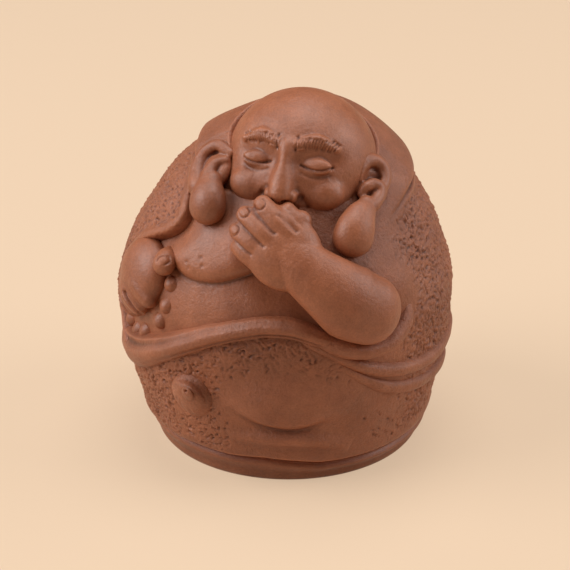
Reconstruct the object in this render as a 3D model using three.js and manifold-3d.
// Laughing monk figurine in unglazed red-brown stoneware, hand-built from separate clay pieces.
// A hollow egg-shaped core stands on a foot band and is closed by a base slab. Robe slabs, bare torso,
// hood, head, hands, beads and folds are made one by one and luted on with slip before firing.
// Units are millimetres and degrees. +Z is up, the figure faces -Y, and the origin is the foot's centre.
import * as THREE from "three";
import { mergeVertices } from "three/addons/utils/BufferGeometryUtils.js";
import Module from "manifold-3d";

const wasm = await Module();
wasm.setup();

// Driving dimensions of the egg that the robe's face follows.
const footRadius = 28;
const bellyRadius = 34.8;
const bellyHeight = 32.8;
const eggHeight = 71;
const bellyFullness = 1.95;
const shoulderFullness = 1.47;
const footDepthRatio = 1.02;
const bellyDepthRatio = 0.95;

// How far the egg's middle strays sideways at given levels, being shaped by hand.
// A level is -100 at the foot, 0 at the belly's widest and 100 at the crown.
const strayLevels = [-100, 0.5, 45, 76.4, 100];
const strayShifts = [0, -0.6, 0, 1.1, 1.8];

// Thicknesses of the slabs and the slip joint between any two pieces.
const slipJoint = 0.3;
const robeThickness = 2.6;
const coreWall = 3.4;
const skinDepth = 1.4;
const hoodThickness = 2.6;
const hoodDepth = 3.2;
const hoodLift = 1.1;
const headWall = 3.6;

// Foot band and base slab.
const bandHeight = 4.5;
const bandWidth = 5;
const bandStep = 0.6;
const footChamfer = 0.6;
const baseThickness = 4;

// Head: the level of its middle, how far that lies behind the chest's front and beside the egg's middle,
// its tilt and its rough size.
const headLevel = 76.2;
const headSink = 11;
const headShift = 0.6;
const headTurn = { pitch: -15, roll: 2, yaw: -16 };
const skullRadii = { x: 14.2, y: 14.4, z: 14.6 };
const jawRadii = { x: 13.4, y: 11.8, z: 9 };
const jawDrop = 4;
const jawForward = 2.4;
const neckRadius = 4;

// Hood: a bed of clay that the head sits in, with room in its shallow recess for the ears.
const hoodRoom = { x: 5.3, y: 2.2, z: 2.4 };
const hoodOffset = { x: -0.7, y: 0, z: 1.1 };
const hoodLean = 1.2;

// Face of plain proportions: the eye line halfway down the head, the nose halfway from there to the chin.
const eyeSize = { x: 2.9, y: 1.6, z: 1.5 };
const browRadius = 1.0;
const browRise = 3.9;
const noseRadii = { x: 2.7, y: 2.9, z: 2.3 };
const noseWingRadius = 1.7;
const noseBridgeRadius = 2;
const lipRadius = 0.9;
const lipHalfWidth = 3.6;

// Ears on the sides of the skull, with long lobes whose tips lie on the chest.
const earStand = 2.2;
const earForward = 4;
const earDrop = 4;
const earRadii = { x: 3.2, y: 3.2, z: 5.6 };
const lobeRadius = 4;

// Left forearm and hand. The palm lies beside and below the chin, in front of the face.
const elbowRadius = 6.3;
const wristRadius = 5.0;
const palmRadii = { across: 6.6, out: 3.4, along: 7.6 };
const palmTurn = 42;
const palmPlace = { x: 3.7, forward: 3.4, drop: 0.4 };
const palmFacing = { pitch: -15.8, yaw: 12 };
const fingerRadii = [2.0, 1.85, 1.65, 1.4];
const leftThumbRadius = 1.8;

// Right hand, thumb and fingers.
const rightPalmRadii = { across: 7.2, out: 3.6, along: 7.6 };
const rightThumbRadius = 2.4;
const rightFingerRadius = 1.7;

// String of beads, sash, folds, sleeve cuff and the bag's knot.
const beadRadius = 1.4;
const sashRadius = 2.3;
const cuffRadius = 1.9;
const upperFoldRadius = 1.25;
const lowerFoldRadius = 1.05;
const knotRadius = 4.4;
const knotHeight = 4.2;
const knotSkirt = 1.2;
const ventRadius = 0.5;
const lapRadii = { across: 12.6, out: 2.2, along: 7.2 };
const breastRadii = { across: 10.2, out: 3.6, along: 7 };

// Numbers of facets.
const eggSides = 36;
const coreSides = 24;
const ballSides = 14;
const pelletSides = 10;
const rollSides = 8;

// Far past the figure: the reach of a cutting tool.
const beyond = 2 * eggHeight;

const radians = THREE.MathUtils.degToRad;
const vector = (x, y, z) => new THREE.Vector3(x, y, z);

// Heights and levels on the egg.
const heightAt = (level) => bellyHeight + (level / 100) * (level < 0 ? bellyHeight : eggHeight - bellyHeight);

// Solids from three.js geometry, and back.

function solid(geometry) {
  const bare = new THREE.BufferGeometry();
  bare.setAttribute("position", geometry.getAttribute("position"));
  if (geometry.index) bare.setIndex(geometry.index);
  const merged = mergeVertices(bare, 1e-4);
  const vertProperties = merged.attributes.position.array;
  const triVerts = new Uint32Array(merged.index.array);
  return new wasm.Manifold(new wasm.Mesh({ numProp: 3, vertProperties, triVerts }));
}

function geometryOf(made) {
  const mesh = made.getMesh();
  const geometry = new THREE.BufferGeometry();
  geometry.setAttribute("position", new THREE.BufferAttribute(mesh.vertProperties, 3));
  geometry.setIndex(new THREE.BufferAttribute(mesh.triVerts, 1));
  geometry.computeVertexNormals();
  return geometry;
}

const join = (first, ...others) => others.reduce((sum, other) => sum.add(other), first);
const cut = (first, ...tools) => tools.reduce((rest, tool) => rest.subtract(tool), first);
const inFrame = (made, matrix) => solid(geometryOf(made).applyMatrix4(matrix));

// The piece itself, without the crumbs that a cut leaves beside it.
function mainBody(made) {
  const bodies = made.decompose();
  return bodies.reduce((largest, body) => (body.volume() > largest.volume() ? body : largest));
}

// The egg: its outline, and places on it by azimuth, level and lift. Azimuth 0 faces the viewer, 90 is +X.

function eggRadius(height) {
  if (height < bellyHeight) {
    const below = (bellyHeight - height) / bellyHeight;
    return bellyRadius - (bellyRadius - footRadius) * below ** bellyFullness;
  }
  const above = Math.min((height - bellyHeight) / (eggHeight - bellyHeight), 1);
  return bellyRadius * Math.sqrt(1 - above ** shoulderFullness);
}

const strayCurve = new THREE.CubicInterpolant(strayLevels.map(heightAt), strayShifts, 1);
const strayAt = (height) => strayCurve.evaluate(THREE.MathUtils.clamp(height, 0, eggHeight))[0];

const depthAt = (height) => {
  const rise = THREE.MathUtils.clamp(height / bellyHeight, 0, 1);
  return THREE.MathUtils.lerp(footDepthRatio, bellyDepthRatio, rise);
};

function eggOutline(offset, lowRows, highRows) {
  const points = [];
  for (let row = 0; row < lowRows; row++) {
    const height = (bellyHeight * row) / lowRows;
    points.push(new THREE.Vector2(eggRadius(height), height));
  }
  for (let row = 0; row <= highRows; row++) {
    const angle = ((Math.PI / 2) * row) / highRows;
    const rise = Math.sin(angle) ** (2 / shoulderFullness);
    points.push(new THREE.Vector2(bellyRadius * Math.cos(angle), heightAt(100 * rise)));
  }
  const last = points.length - 1;
  return points.map((point, i) => {
    const along = points[Math.min(i + 1, last)].clone().sub(points[Math.max(i - 1, 0)]).normalize();
    const normal = i === last ? new THREE.Vector2(0, 1) : new THREE.Vector2(along.y, -along.x);
    return point.clone().addScaledVector(normal, offset);
  });
}

// Stands a lathe up, and gives it the egg's depth and its stray at every height.
function shapedRound(lathe) {
  const geometry = lathe.rotateX(Math.PI / 2);
  const position = geometry.getAttribute("position");
  for (let i = 0; i < position.count; i++) {
    const height = position.getZ(i);
    position.setX(i, position.getX(i) + strayAt(height));
    position.setY(i, position.getY(i) * depthAt(height));
  }
  return geometry;
}

// A solid egg, grown or shrunk by an offset. It runs on below the foot, for trimming.
function eggSolid(offset, sides = eggSides, lowRows = 5, highRows = 9) {
  const outline = eggOutline(offset, lowRows, highRows);
  outline[outline.length - 1].x = 0;
  const foot = outline[0];
  const profile = [new THREE.Vector2(0, -bandHeight), new THREE.Vector2(foot.x, -bandHeight), ...outline];
  return solid(shapedRound(new THREE.LatheGeometry(profile, sides)));
}

// A frame at a point on a face: the normal there, level across, and up along the face.
function frameAt(point, normal) {
  const across = vector(0, 0, 1).cross(normal).normalize();
  return { point, normal, across, up: normal.clone().cross(across) };
}

function eggFrame(azimuth, level, lift = 0) {
  const angle = radians(azimuth);
  const height = heightAt(level);
  const step = 0.05;
  const slope = (eggRadius(height + step) - eggRadius(height - step)) / (2 * step);
  const radius = eggRadius(height);
  const depth = depthAt(height);
  const point = vector(radius * Math.sin(angle) + strayAt(height), -radius * Math.cos(angle) * depth, height);
  const normal = vector(Math.sin(angle), -Math.cos(angle) / depth, -slope).normalize();
  return frameAt(point.addScaledVector(normal, lift), normal);
}

const eggPoint = (azimuth, level, lift) => eggFrame(azimuth, level, lift).point;

// Basic clay forms: balls, lumps pressed on the egg, and rolls along a route.

function ball(centre, radii, sides = ballSides) {
  const geometry = new THREE.SphereGeometry(1, sides, Math.round(sides * 0.6));
  geometry.rotateX(Math.PI / 2).scale(radii.x, radii.y, radii.z);
  return solid(geometry.translate(centre.x, centre.y, centre.z));
}

// Radii along a tapered roll, from shares of its full radius.
const tapered = (radius, shares, grow) => shares.map((share) => radius * share + grow);

const roundBall = (radius) => ({ x: radius, y: radius, z: radius });
const grown = (radii, grow) =>
  Object.fromEntries(Object.entries(radii).map(([axis, radius]) => [axis, radius + grow]));

// A frame spun about its normal, anticlockwise as the viewer sees it.
function spinFrame({ point, normal, across, up }, turn) {
  const spun = (axis) => axis.clone().applyAxisAngle(normal, radians(turn));
  return { point, normal, across: spun(across), up: spun(up) };
}

// An ellipsoid lying in a frame. tip raises its lower end.
function lump({ point, normal, across, up }, radii, { tip = 0, sides = ballSides } = {}) {
  const geometry = new THREE.SphereGeometry(1, sides, Math.round(sides * 0.6));
  geometry.scale(radii.across, radii.along, radii.out).rotateX(-radians(tip));
  const basis = new THREE.Matrix4().makeBasis(across, up, normal).setPosition(point);
  return solid(geometry.applyMatrix4(basis));
}

// A place by an ellipsoid that lies in a frame: shares of its radii across, along and out from its middle.
const placeBy = ({ point, normal, across, up }, radii) => ([acrossShare, alongShare, outShare]) =>
  point
    .clone()
    .addScaledVector(across, acrossShare * radii.across)
    .addScaledVector(up, alongShare * radii.along)
    .addScaledVector(normal, outShare * radii.out);

// A tapered roll with round ends: a lathe whose axis follows the curve through the points.
// out is the direction that flat squeezes, so a flat of 0.6 makes the roll lie down.
function roll(points, radii, out, { sides = rollSides, rows = 8, capRows = 3, flat = 1 } = {}) {
  const curve = new THREE.CatmullRomCurve3(points);
  const length = curve.getLength();
  const radiusAt = (share) => {
    const place = share * (radii.length - 1);
    const i = Math.min(Math.floor(place), radii.length - 2);
    return THREE.MathUtils.lerp(radii[i], radii[i + 1], place - i);
  };
  const start = radii[0];
  const end = radii[radii.length - 1];
  const profile = [];
  for (let i = 0; i < capRows; i++) {
    const angle = ((Math.PI / 2) * i) / capRows;
    profile.push(new THREE.Vector2(start * Math.sin(angle), -start * Math.cos(angle)));
  }
  for (let i = 0; i <= rows; i++) profile.push(new THREE.Vector2(radiusAt(i / rows), (length * i) / rows));
  for (let i = capRows - 1; i >= 0; i--) {
    const angle = ((Math.PI / 2) * i) / capRows;
    profile.push(new THREE.Vector2(end * Math.sin(angle), length + end * Math.cos(angle)));
  }
  const geometry = new THREE.LatheGeometry(profile, sides);
  const position = geometry.getAttribute("position");
  for (let i = 0; i < position.count; i++) {
    const along = position.getY(i);
    const share = THREE.MathUtils.clamp(along / length, 0, 1);
    const tangent = curve.getTangentAt(share);
    const place = curve.getPointAt(share).addScaledVector(tangent, along - share * length);
    const normal = out(place).clone().projectOnPlane(tangent).normalize();
    const side = normal.clone().cross(tangent);
    place.addScaledVector(normal, position.getX(i) * flat).addScaledVector(side, position.getZ(i));
    position.setXYZ(i, place.x, place.y, place.z);
  }
  return solid(geometry);
}

const outward = (place) => vector(place.x, place.y / depthAt(place.z) ** 2, 0).normalize();

// A roll along a route of [azimuth, level, lift] stations on the egg.
function rollOnEgg(route, radii, options) {
  return roll(route.map((station) => eggPoint(...station)), radii, outward, options);
}

function block(low, high) {
  const size = high.clone().sub(low);
  const centre = low.clone().add(high).multiplyScalar(0.5);
  return solid(new THREE.BoxGeometry(size.x, size.y, size.z).translate(centre.x, centre.y, centre.z));
}

// An outline seen from the front, in X and Z, extruded from one depth to another.
function frontTool(shape, nearY, farY) {
  const depth = farY - nearY;
  const geometry = new THREE.ExtrudeGeometry(shape, { depth, bevelEnabled: false, curveSegments: 3 });
  return solid(geometry.rotateX(Math.PI / 2).translate(0, farY, 0));
}

const sideways = (route, shiftX, shiftZ) =>
  route.map(([azimuth, level]) => {
    const { x, z } = eggPoint(azimuth, level, 0);
    return new THREE.Vector2(x + shiftX, z + shiftZ);
  });

// Halves of space, by the figure's own right and left, and the space above the foot band.
const frontHalf = block(vector(-beyond, -beyond, -beyond), vector(beyond, -slipJoint / 2, beyond));
const backHalf = block(vector(-beyond, slipJoint / 2, -beyond), vector(beyond, beyond, beyond));
const rightHalf = block(vector(-beyond, -beyond, -beyond), vector(-slipJoint / 2, beyond, beyond));
const leftHalf = block(vector(slipJoint / 2, -beyond, -beyond), vector(beyond, beyond, beyond));
const aboveBand = block(vector(-beyond, -beyond, bandHeight + slipJoint), vector(beyond, beyond, beyond));

// Edges of the robe, as [azimuth, level] stations.

const rightLapel = [
  [-84, 78.3],
  [-65, 73.8],
  [-57, 67.8],
  [-51, 58.6],
  [-51, 47.6],
  [-55, 39.5],
  [-62, 31.4],
  [-72, 22],
  [-89, 3.1],
];

const leftLapel = [
  [43, 5.8],
  [41, 18.8],
  [35, 36.4],
  [37, 40.6],
  [44.5, 49.7],
  [63, 59.7],
];

const waistLine = [
  [-89, -39],
  [-61, -30.5],
  [-45, -15.2],
  [-33.6, -4],
  [-22.6, 4.7],
  [-12.6, 9.4],
  [-3, 11.5],
  [6.8, 9.4],
  [13.3, 2.9],
];

const hipLine = [
  [21, -8.2],
  [29.6, -18.6],
  [40.6, -27.4],
  [54, -29.3],
  [68, -27.4],
  [89, -22.3],
];

// Opening of the robe over the bare torso, drawn smaller or larger by an inset.
function robeOpening(inset) {
  const left = sideways(rightLapel, inset, 0);
  const low = sideways(waistLine, 0, inset);
  const right = sideways(leftLapel, -inset, 0);
  const shape = new THREE.Shape();
  shape.moveTo(left[0].x, beyond);
  shape.lineTo(left[0].x, left[0].y);
  shape.splineThru(left.slice(1));
  shape.lineTo(-beyond, left[left.length - 1].y);
  shape.lineTo(-beyond, low[0].y);
  shape.lineTo(low[0].x, low[0].y);
  shape.splineThru(low.slice(1));
  shape.lineTo(right[0].x, right[0].y);
  shape.splineThru(right.slice(1));
  shape.lineTo(right[right.length - 1].x, beyond);
  return frontTool(shape, -beyond, 0);
}

// Everything in front that lies below the waist and hip line, lowered by a drop.
function belowWaist(drop) {
  const line = sideways([...waistLine, ...hipLine], 0, -drop);
  const shape = new THREE.Shape();
  shape.moveTo(-beyond, -beyond);
  shape.lineTo(beyond, -beyond);
  shape.lineTo(beyond, line[line.length - 1].y);
  line.reverse().forEach((point) => shape.lineTo(point.x, point.y));
  shape.lineTo(-beyond, line[line.length - 1].y);
  return frontTool(shape, -beyond, 0);
}

// Tools that several pieces share.

const headMiddle = eggPoint(0, headLevel, 0).add(vector(headShift, headSink, 0));
const hoodMiddle = headMiddle.clone().add(hoodOffset);
const hoodRadii = {
  x: skullRadii.x + hoodRoom.x,
  y: skullRadii.y + hoodRoom.y,
  z: skullRadii.z + hoodRoom.z,
};
const hoodBall = (grow, lean = hoodLean) =>
  ball(hoodMiddle.clone().add(vector(lean, 0, 0)), grown(hoodRadii, hoodThickness + grow), 20);
const hoodRecess = (grow) => hoodBall(-hoodThickness - grow, 0).subtract(eggSolid(grow - hoodDepth));
const headMatrix = new THREE.Matrix4().compose(
  headMiddle,
  new THREE.Quaternion().setFromEuler(
    new THREE.Euler(radians(headTurn.pitch), radians(headTurn.roll), radians(headTurn.yaw), "ZYX"),
  ),
  vector(1, 1, 1),
);
const worldToHead = headMatrix.clone().invert();
const robeFace = eggSolid(0);
const robeBack = eggSolid(-robeThickness);
const robeSlab = robeFace.subtract(robeBack).intersect(aboveBand).subtract(hoodBall(slipJoint));

// Foot: a smooth band around a flat base slab.

function footRing() {
  const top = eggRadius(bandHeight) - bandStep;
  const inner = footRadius - bandWidth;
  const profile = [
    [inner, 0],
    [footRadius - footChamfer, 0],
    [footRadius, footChamfer],
    [top, bandHeight],
    [inner, bandHeight],
    [inner, 0],
  ].map(([radius, height]) => new THREE.Vector2(radius, height));
  return solid(shapedRound(new THREE.LatheGeometry(profile, eggSides)));
}

function baseDisc() {
  const radius = footRadius - bandWidth - slipJoint;
  const profile = [
    [0, 0],
    [radius, 0],
    [radius, baseThickness],
    [0, baseThickness],
  ].map(([across, height]) => new THREE.Vector2(across, height));
  return solid(shapedRound(new THREE.LatheGeometry(profile, eggSides)));
}

// The bag's knot and its pinhole, which vents the hollow core while it is fired.

const knotStation = [-37, -45.1];

function alongKnot(geometry) {
  const { point, normal, across, up } = eggFrame(...knotStation);
  const basis = new THREE.Matrix4().makeBasis(across, up, normal).setPosition(point);
  return solid(geometry.rotateX(Math.PI / 2).applyMatrix4(basis));
}

function ventHole() {
  const depth = 2 * (robeThickness + coreWall + knotHeight);
  return alongKnot(new THREE.CylinderGeometry(ventRadius, ventRadius, depth, 8));
}

function knotForm() {
  const profile = [
    [0, -robeThickness / 2],
    [knotRadius + knotSkirt, -robeThickness / 2],
    [knotRadius + knotSkirt, 0],
    [knotRadius, knotHeight * 0.22],
    [knotRadius * 0.8, knotHeight * 0.52],
    [knotRadius * 0.5, knotHeight * 0.72],
    [knotRadius * 0.42, knotHeight * 0.9],
    [knotRadius * 0.22, knotHeight],
    [0, knotHeight],
  ].map(([across, height]) => new THREE.Vector2(across, height));
  return alongKnot(new THREE.LatheGeometry(profile, 16));
}

// Core: a hollow egg in two pressed halves, open at the foot and at the hood.

function coreEgg() {
  const outer = eggSolid(-robeThickness - slipJoint, coreSides, 5, 8);
  const inner = eggSolid(-robeThickness - slipJoint - coreWall, coreSides, 5, 8);
  return cut(outer.subtract(inner).intersect(aboveBand), hoodBall(slipJoint), ventHole());
}

// Bare torso: a thin slab in the robe's opening, with two breasts.

function torsoForm(grow = 0) {
  const face = eggSolid(grow - skinDepth);
  const breast = (azimuth) => lump(eggFrame(azimuth, 46.1, -3), grown(breastRadii, grow), { tip: 14 });
  return join(face, breast(-33), breast(19));
}

function bareTorso() {
  const panel = torsoForm().intersect(robeOpening(slipJoint)).intersect(frontHalf);
  return cut(panel, robeBack, hoodBall(slipJoint), belowWaist(-slipJoint));
}

// Robe: four slabs wrapped round the core, and the lap swelling on the front one.

const lapSwell = (grow) => lump(eggFrame(0.5, -40.2, -1), grown(lapRadii, grow), { sides: 20 });
const upperFront = robeSlab.intersect(frontHalf).subtract(robeOpening(0)).subtract(belowWaist(0));

function robeSkirt() {
  const slab = join(robeSlab, cut(lapSwell(0), robeBack)).intersect(frontHalf);
  return cut(slab.intersect(belowWaist(slipJoint)), ventHole());
}

// Hood: flush with the robe behind and beside the head, and with the chest in front of it.

function hoodBed() {
  const face = join(eggSolid(hoodLift).subtract(robeOpening(0)), eggSolid(-skinDepth));
  return hoodBall(0).intersect(face).subtract(hoodRecess(0));
}

// Head, in its own frame: a hollow skull and jaw, open at the neck.

const chinHeight = -jawDrop - jawRadii.z;
const eyeHeight = (skullRadii.z + chinHeight) / 2;
const noseHeight = (eyeHeight + chinHeight) / 2;
const mouthHeight = noseHeight + (chinHeight - noseHeight) / 3;
const jawMiddle = vector(0, -jawForward, -jawDrop);

const headForm = (grow) => {
  const skull = ball(vector(0, 0, 0), grown(skullRadii, grow), 22);
  return join(skull, ball(jawMiddle, grown(jawRadii, grow), 18));
};
const headTool = (grow) => inFrame(headForm(grow), headMatrix);

function hollowHead() {
  const hollow = ball(vector(0, 0, 0), grown(skullRadii, -headWall), 14);
  const neck = new THREE.CylinderGeometry(neckRadius, neckRadius, beyond / 2, 12).rotateX(Math.PI / 2);
  return cut(headForm(0), hollow, solid(neck.translate(0, jawForward, -beyond / 4)));
}

// Depth of the face's front at a place on it, for setting features on the face.
function faceDepth(x, z) {
  const depthOn = (radii, drop, forward) => {
    const inside = 1 - (x / radii.x) ** 2 - ((z + drop) / radii.z) ** 2;
    return inside > 0 ? -forward - radii.y * Math.sqrt(inside) : 0;
  };
  return Math.min(depthOn(skullRadii, 0, 0), depthOn(jawRadii, jawDrop, jawForward));
}

const onFace = (x, z, sink = 0) => vector(x, faceDepth(x, z) + sink, z);
const frontward = () => vector(0, -1, 0);
const eyeSpread = (2 * skullRadii.x) / 5;

const eyeLid = (side) => (grow) =>
  ball(onFace(side * eyeSpread, eyeHeight, eyeSize.y * 0.35), grown(eyeSize, grow), pelletSides);

const eyeBrow = (side) => (grow) => {
  const stations = [0.45, 0.95, 1.45].map((share, i) =>
    onFace(side * eyeSpread * share, eyeHeight + browRise + [0, 0.7, -0.1][i], browRadius * 0.35),
  );
  return roll(stations, tapered(browRadius, [0.7, 1, 0.6], grow), frontward, { rows: 4, capRows: 2 });
};

const noseForm = (grow) => {
  const bridge = [
    onFace(0, eyeHeight + 1, 0.6),
    onFace(0, noseHeight + 2.2, -0.4),
    onFace(0, noseHeight + 0.6, -0.9),
  ];
  const tip = ball(onFace(0, noseHeight + 0.9, -0.4), grown(noseRadii, grow), pelletSides);
  const wing = (side) =>
    ball(onFace(side * noseRadii.x, noseHeight + 0.5, 0.3), roundBall(noseWingRadius + grow), pelletSides);
  const ridgeRadii = tapered(noseBridgeRadius, [0.8, 1, 1.1], grow);
  const ridge = roll(bridge, ridgeRadii, frontward, { rows: 3, capRows: 2 });
  return join(tip, wing(-1), wing(1), ridge);
};

const lipForm = (grow) => {
  const stations = [-1, -0.5, 0, 0.5, 1].map((share) =>
    onFace(share * lipHalfWidth, mouthHeight + 0.5 * share * share, lipRadius * 0.35),
  );
  const radii = tapered(lipRadius, [0.5, 0.9, 1, 0.9, 0.5], grow);
  return roll(stations, radii, frontward, { rows: 6, capRows: 2 });
};

const earMiddle = (side) => vector(side * (skullRadii.x + earStand), -earForward, -earDrop);
const earForm = (side) => (grow) => ball(earMiddle(side), grown(earRadii, grow), 14);

const lobeTips = { right: [-42, 60, -1.9], left: [26.9, 51.5, 2.1] };

const lobeForm = (name, side) => (grow) => {
  const top = earMiddle(side).add(vector(0, -earRadii.y * 0.5, -earRadii.z * 0.5));
  const low = eggPoint(...lobeTips[name]).applyMatrix4(worldToHead);
  const stations = [top, top.clone().lerp(low, 0.5), low];
  const radii = tapered(lobeRadius, [0.62, 0.84, 1], grow);
  return roll(stations, radii, frontward, { sides: 10, rows: 4, flat: 0.9 });
};

// Left arm, raised across the chest so that the hand covers the mouth.

const forearmRoute = [
  [26.5, 15.2, 1.2],
  [17, 29.3, 2.0],
  [6.5, 40.3, 2.6],
];
const forearm = (grow) => {
  const radii = [elbowRadius + grow, (elbowRadius + wristRadius) / 2 + grow, wristRadius + grow];
  return rollOnEgg(forearmRoute, radii, { sides: 14, rows: 5, capRows: 4 });
};

const faceFront = Math.max(skullRadii.y, jawForward + jawRadii.y);
const palmMiddle = vector(palmPlace.x, -faceFront - palmPlace.forward, chinHeight - palmPlace.drop);
const palmNormal = frontward().applyEuler(
  new THREE.Euler(radians(palmFacing.pitch), 0, radians(palmFacing.yaw), "ZYX"),
);
const leftPalmFrame = spinFrame(
  frameAt(palmMiddle.applyMatrix4(headMatrix), palmNormal.transformDirection(headMatrix)),
  palmTurn,
);
const leftPalm = (grow) => lump(leftPalmFrame, grown(palmRadii, grow));

const leftFingerRoutes = {
  left_index_finger: [[0.33, 0.32, 0.27], [0.51, 0.93, 0.17], [0.6, 1.35, -0.32]],
  left_middle_finger: [[-0.12, 0.32, 0.27], [-0.02, 0.96, 0.16], [-0.01, 1.4, -0.43]],
  left_ring_finger: [[-0.58, 0.31, 0.16], [-0.57, 0.87, 0], [-0.61, 1.22, -0.55]],
  left_little_finger: [[-0.93, 0.26, -0.03], [-0.94, 0.65, -0.19], [-0.92, 0.94, -0.67]],
};
const leftThumbRoute = [[0.78, -0.23, -0.17], [0.96, 0.28, -0.18], [1.11, 0.75, -0.4]];

const finger = (points, radius) => (grow) =>
  roll(points, tapered(radius, [1, 1, 0.86], grow), outward, { rows: 5 });
const leftFinger = (route, radius) => finger(route.map(placeBy(leftPalmFrame, palmRadii)), radius);

// Right hand, holding the beads against the side.

const rightPalmFrame = eggFrame(-61, 19.9, -0.4);
const rightPalm = (grow) => lump(rightPalmFrame, grown(rightPalmRadii, grow));
const rightThumbRoute = [[0.39, 0.83, -0.08], [0.73, 0.77, 0.09], [1, 0.58, 0.15]];
const rightFingerRoutes = {
  right_index_finger: [[0.73, -0.24, 0.33], [0.78, -0.54, 0.23], [0.75, -0.8, -0.05]],
  right_middle_finger: [[0.24, -0.43, 0.53], [0.2, -0.78, 0.35], [0.11, -1.08, -0.06]],
  right_ring_finger: [[-0.29, -0.53, 0.4], [-0.4, -0.91, 0.17], [-0.5, -1.21, -0.29]],
  right_little_finger: [[-0.79, -0.54, 0.12], [-0.9, -0.85, -0.12], [-1.04, -1.09, -0.52]],
};
const rightFinger = (route, radius) => finger(route.map(placeBy(rightPalmFrame, rightPalmRadii)), radius);

// Beads of the string, from the thumb down and back to the fingers.
const beadStations = [
  [-44.4, 21.5],
  [-44.7, 11.5],
  [-47.2, 1.6],
  [-56, -11],
  [-63, -16.5],
  [-70, -15.2],
  [-76.5, -12.2],
];
const bead = ([azimuth, level]) => (grow) => {
  const centre = eggPoint(azimuth, level, beadRadius * 0.4 - skinDepth);
  return ball(centre, roundBall(beadRadius + grow), pelletSides);
};

// Sash, folds and cuff.

const sashRoute = [
  [-80, -34.8, -2.2],
  [-71, -34.8, -1.2],
  [-61, -30.5, -0.3],
  [-45, -15.2, 0.2],
  [-33.6, -4, 0],
  [-22.6, 4.7, 0],
  [-12.6, 9.4, 0],
  [-3, 11.5, 0],
  [6.8, 9.4, 0],
  [14.4, 2.1, 0],
];
const sashShares = [1, 1.2, 1.2, 1, 0.9, 0.88, 0.86, 0.84, 0.8, 0.7];
const sash = (grow) => rollOnEgg(sashRoute, tapered(sashRadius, sashShares, grow), { rows: 18 });

const cuffRoute = [
  [12, 6.8, 0.4],
  [19.5, -3.7, 0.4],
  [27, -9.8, 0.4],
  [35, -7.9, 0.4],
  [40.8, 1.6, 0.3],
  [43.4, 13.1, 0.2],
  [43, 23.6, 0],
];
const cuffShares = [0.6, 0.9, 1, 1, 1, 0.9, 0.6];
const cuff = (grow) => rollOnEgg(cuffRoute, tapered(cuffRadius, cuffShares, grow), { rows: 14 });

const upperFoldRoute = [
  [3, 4.2, -0.1],
  [13.3, -1.8, 0.1],
  [21, -12.2, 0.1],
  [29.6, -22, 0.1],
  [40.6, -29.9, 0.1],
  [54, -31.7, 0.1],
  [68, -29.9, 0.1],
  [82, -25, -0.1],
];
const upperFoldShares = [0.5, 0.9, 1, 1, 1, 1, 0.9, 0.5];
const upperFold = (grow) =>
  rollOnEgg(upperFoldRoute, tapered(upperFoldRadius, upperFoldShares, grow), { rows: 14 });

const lowerFoldRoute = [
  [17, -11, -0.3],
  [25.8, -25.6, 0],
  [36.6, -37.8, 0.1],
  [50, -45.1, 0.1],
  [65, -47.6, 0.1],
  [80, -46.3, -0.1],
];
const lowerFoldShares = [0.5, 0.9, 1, 1, 0.9, 0.5];
const lowerFold = (grow) =>
  rollOnEgg(lowerFoldRoute, tapered(lowerFoldRadius, lowerFoldShares, grow), { rows: 12 });

// Assembly: each piece is trimmed by what lies under it, less the slip joint.

const clay = (color, roughness) => new THREE.MeshStandardMaterial({ color, roughness, metalness: 0 });
const skinClay = clay("#8f5c45", 0.55);
const robeClay = clay("#86523a", 0.75);
const footClay = clay("#6f432f", 0.6);

const figurine = new THREE.Group();
const headGroup = new THREE.Group();
headGroup.applyMatrix4(headMatrix);
figurine.add(headGroup);

function addPiece(group, name, made, material) {
  const mesh = new THREE.Mesh(geometryOf(mainBody(made)), material);
  mesh.name = name;
  group.add(mesh);
}

const core = coreEgg();
addPiece(figurine, "base_slab", baseDisc(), footClay);
addPiece(figurine, "foot_band", footRing(), footClay);
addPiece(figurine, "core_right", core.intersect(rightHalf), skinClay);
addPiece(figurine, "core_left", core.intersect(leftHalf), skinClay);

const faceTools = [noseForm, lipForm].map((form) => inFrame(form(slipJoint), headMatrix));
addPiece(figurine, "hood", cut(hoodBed(), headTool(slipJoint), ...faceTools), robeClay);
addPiece(figurine, "robe_back", robeSlab.intersect(backHalf), robeClay);
addPiece(figurine, "robe_right_shoulder", upperFront.intersect(rightHalf), robeClay);
addPiece(figurine, "robe_left_shoulder", upperFront.intersect(leftHalf), robeClay);
addPiece(figurine, "robe_skirt", robeSkirt(), robeClay);
addPiece(figurine, "bare_torso", cut(bareTorso(), headTool(slipJoint)), skinClay);

// What the applied pieces rest on, grown by the slip joint.
const robeCover = join(eggSolid(slipJoint).subtract(robeOpening(slipJoint)), lapSwell(slipJoint));
const hoodFace = eggSolid(hoodLift + slipJoint).subtract(robeOpening(slipJoint));
const hoodCover = hoodBall(slipJoint).intersect(hoodFace);
const bodyCover = join(robeCover, torsoForm(slipJoint), hoodCover).subtract(hoodRecess(slipJoint));
const headCover = headTool(slipJoint);

// Trims a piece by the clay under it, and by the pieces already laid there.
const laid = (form, ...under) => cut(form(0), bodyCover, ...under.map((other) => other(slipJoint)));

addPiece(figurine, "sash", laid(sash), robeClay);
addPiece(figurine, "upper_fold", laid(upperFold, sash), robeClay);
addPiece(figurine, "lower_fold", laid(lowerFold, upperFold, sash), robeClay);
addPiece(figurine, "sleeve_cuff", laid(cuff, sash, upperFold, lowerFold, forearm), robeClay);
addPiece(figurine, "bag_knot", cut(knotForm(), bodyCover, ventHole()), robeClay);

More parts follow.
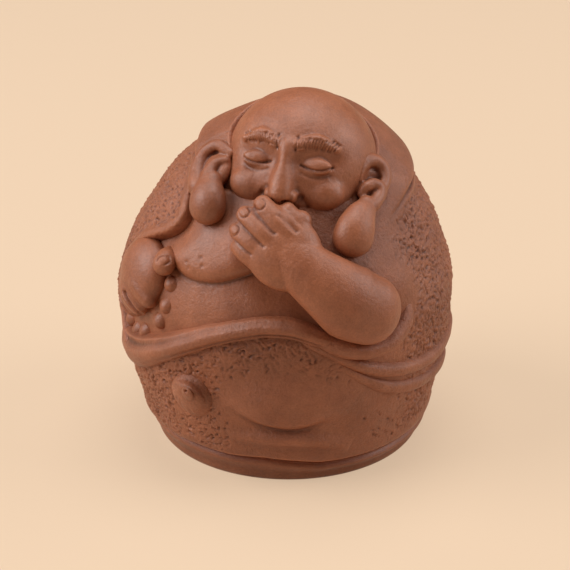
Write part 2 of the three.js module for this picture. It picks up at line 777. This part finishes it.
addPiece(headGroup, "head", hollowHead(), skinClay);
const sides = { right: -1, left: 1 };
const headPieces = [["nose", noseForm], ["lips", lipForm]];
for (const [name, side] of Object.entries(sides)) {
  headPieces.push([`${name}_eyelid`, eyeLid(side)], [`${name}_eyebrow`, eyeBrow(side)]);
}
headPieces.forEach(([name, form], i) => {
  const others = headPieces.slice(0, i).map(([, other]) => other(slipJoint));
  addPiece(headGroup, name, cut(form(0), headForm(slipJoint), ...others), skinClay);
});

const aroundHead = inFrame(bodyCover, worldToHead);
for (const [name, side] of Object.entries(sides)) {
  const ear = earForm(side);
  const lobe = lobeForm(name, side);
  addPiece(headGroup, `${name}_ear`, cut(ear(0), headForm(slipJoint), aroundHead), skinClay);
  const lobeOnChest = cut(lobe(0), headForm(slipJoint), ear(slipJoint), aroundHead);
  addPiece(headGroup, `${name}_ear_lobe`, lobeOnChest, skinClay);
}

const onHead = (form, ...under) => cut(laid(form, ...under), headCover, ...faceTools);

addPiece(figurine, "left_forearm", onHead(forearm, sash), skinClay);
addPiece(figurine, "left_palm", onHead(leftPalm, forearm), skinClay);
const laidFingers = [forearm, leftPalm];
Object.entries(leftFingerRoutes).forEach(([name, route], i) => {
  const form = leftFinger(route, fingerRadii[i]);
  addPiece(figurine, name, onHead(form, ...laidFingers), skinClay);
  laidFingers.push(form);
});
const leftThumb = leftFinger(leftThumbRoute, leftThumbRadius);
addPiece(figurine, "left_thumb", onHead(leftThumb, ...laidFingers), skinClay);

const laidRight = [sash, rightPalm];
addPiece(figurine, "right_palm", laid(rightPalm, sash), skinClay);
const rightThumb = rightFinger(rightThumbRoute, rightThumbRadius);
addPiece(figurine, "right_thumb", laid(rightThumb, ...laidRight), skinClay);
laidRight.push(rightThumb);
Object.entries(rightFingerRoutes).forEach(([name, route]) => {
  const form = rightFinger(route, rightFingerRadius);
  addPiece(figurine, name, laid(form, ...laidRight), skinClay);
  laidRight.push(form);
});

beadStations.forEach((station, i) => {
  const form = bead(station);
  addPiece(figurine, `bead_${i + 1}`, laid(form, ...laidRight), skinClay);
  laidRight.push(form);
});

export default figurine;
